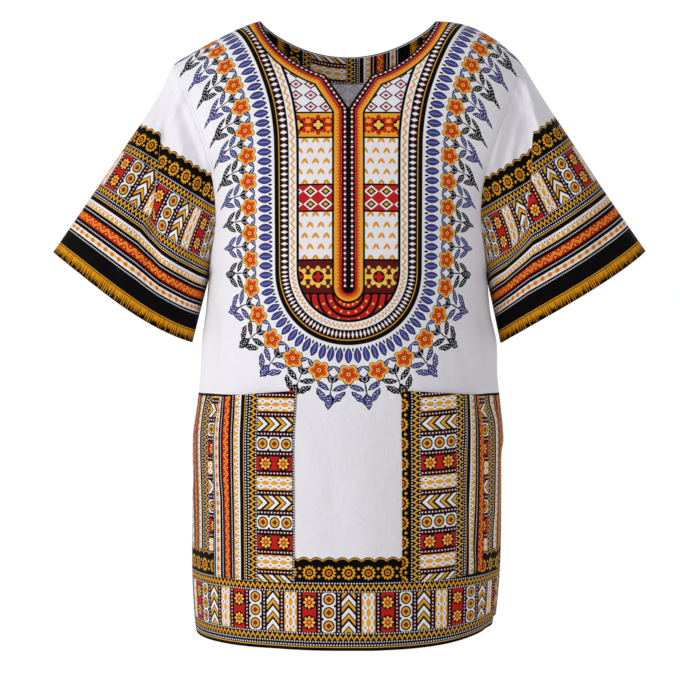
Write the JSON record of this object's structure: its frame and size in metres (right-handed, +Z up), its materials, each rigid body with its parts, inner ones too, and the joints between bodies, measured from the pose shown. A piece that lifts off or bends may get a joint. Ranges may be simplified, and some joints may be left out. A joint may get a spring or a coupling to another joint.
{
  "type": "dashiki shirt",
  "caption": "Loose pullover shirt with short dropped sleeves, an open slit neck and patch pockets, worn over the shoulders and hollow inside.",
  "frame": {"origin": "where the wearer's shoulders hold the shirt, midway between the neck ends of the two shoulder seams", "axes": "+Z up, -Y out of the front, +X towards the wearer's left arm"},
  "size_m": [0.7395, 0.3488, 0.7576],
  "materials": {
    "front_cotton": "matt white cotton with a printed yoke, flower ring and borders",
    "back_cotton": "matt white cotton with a printed yoke, flower ring and borders",
    "sleeve_left_cotton": "matt cotton with printed black, gold and red bands",
    "sleeve_right_cotton": "matt cotton with printed black, gold and red bands",
    "pocket_left_cotton": "matt cotton with printed upright bands",
    "pocket_right_cotton": "matt cotton with printed upright bands",
    "neck_facing_cotton": "matt printed cotton facing, stitched round the back neck"
  },
  "bodies": {
    "root": {"front": "front_cotton", "back": "back_cotton", "sleeve_left": "sleeve_left_cotton", "sleeve_right": "sleeve_right_cotton", "pocket_left": "pocket_left_cotton", "pocket_right": "pocket_right_cotton", "neck_facing": "neck_facing_cotton"}
  },
  "joints": []
}
